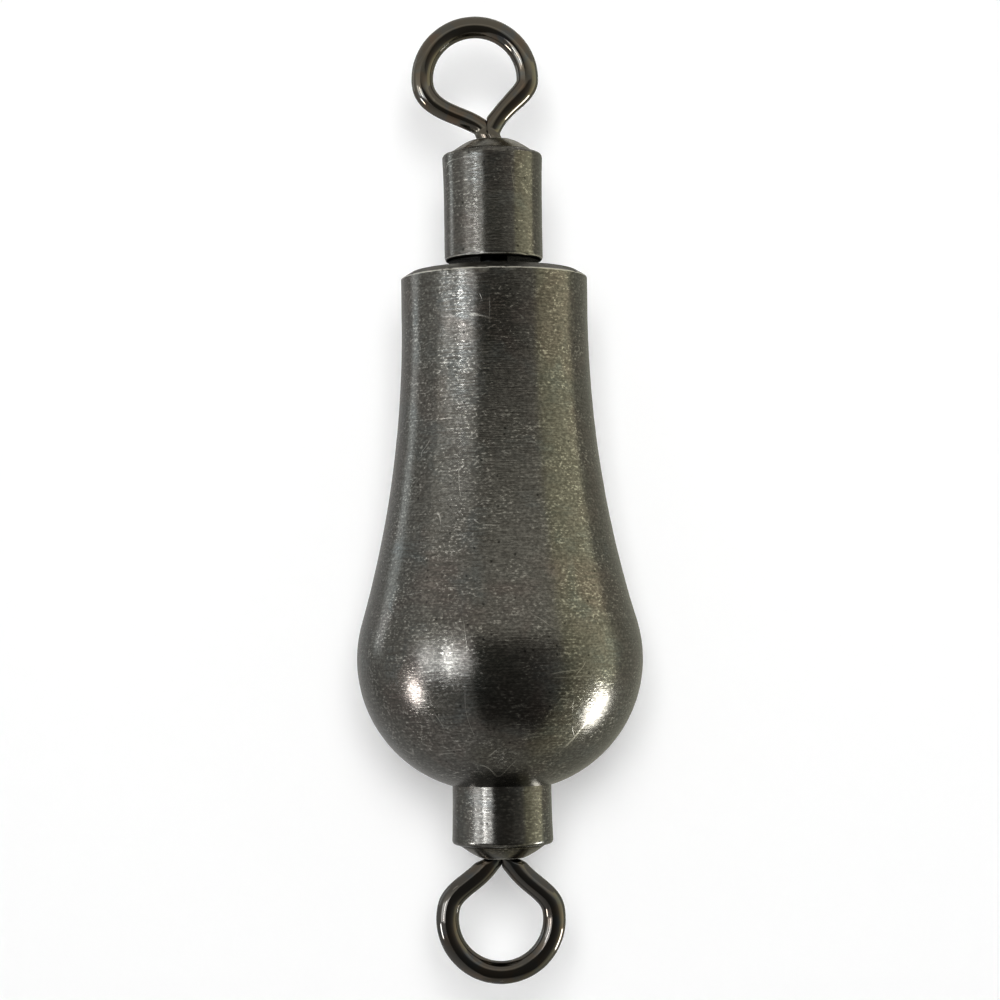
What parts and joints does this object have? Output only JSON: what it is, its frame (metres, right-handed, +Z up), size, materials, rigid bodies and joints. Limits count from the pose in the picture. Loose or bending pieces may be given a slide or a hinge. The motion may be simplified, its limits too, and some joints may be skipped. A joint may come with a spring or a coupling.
{
  "type": "fishing sinker",
  "caption": "Bell-shaped turned metal sinker with a captured barrel swivel and a bent-wire eye at each end, hung from its upper eye.",
  "frame": {"origin": "the point where the line bears inside the upper ring, on the body's axis", "axes": "+Z up along the body's axis, from the lower eye to the upper eye; +X across the rings, which lie in the XZ plane"},
  "size_m": [0.026, 0.026, 0.0883],
  "materials": {
    "weight_steel": "dark turned steel, worn bright on its edges",
    "barrel_steel": "dark steel, rubbed and speckled",
    "bush_steel": "dark steel with an olive tint",
    "eye_wire": "glossy black nickel",
    "inner_steel": "plain turned steel",
    "washer_brass": "plain brass"
  },
  "bodies": {
    "upper_eye": {"upper_eye": "eye_wire", "upper_head_collar": "inner_steel", "upper_thrust_washer": "washer_brass"},
    "upper_barrel": {"upper_barrel": "barrel_steel", "upper_nose_bush": "bush_steel"},
    "weight": {"weight_body": "weight_steel", "swivel_pin": "inner_steel", "pin_thrust_washer": "washer_brass", "lower_barrel": "barrel_steel", "lower_nose_bush": "bush_steel"},
    "lower_eye": {"lower_eye": "eye_wire", "lower_head_collar": "inner_steel", "lower_thrust_washer": "washer_brass"}
  },
  "joints": [
    {"name": "upper_eye_swivel", "type": "hinge", "parent": "upper_eye", "child": "upper_barrel", "pos_m": [0, 0, -0.0105], "axis": [0, 0, 1], "continuous": true},
    {"name": "barrel_swivel", "type": "hinge", "parent": "upper_barrel", "child": "weight", "pos_m": [0, 0, -0.0209], "axis": [0, 0, 1], "continuous": true},
    {"name": "lower_eye_swivel", "type": "hinge", "parent": "weight", "child": "lower_eye", "pos_m": [0, 0, -0.0746], "axis": [0, 0, 1], "continuous": true}
  ]
}
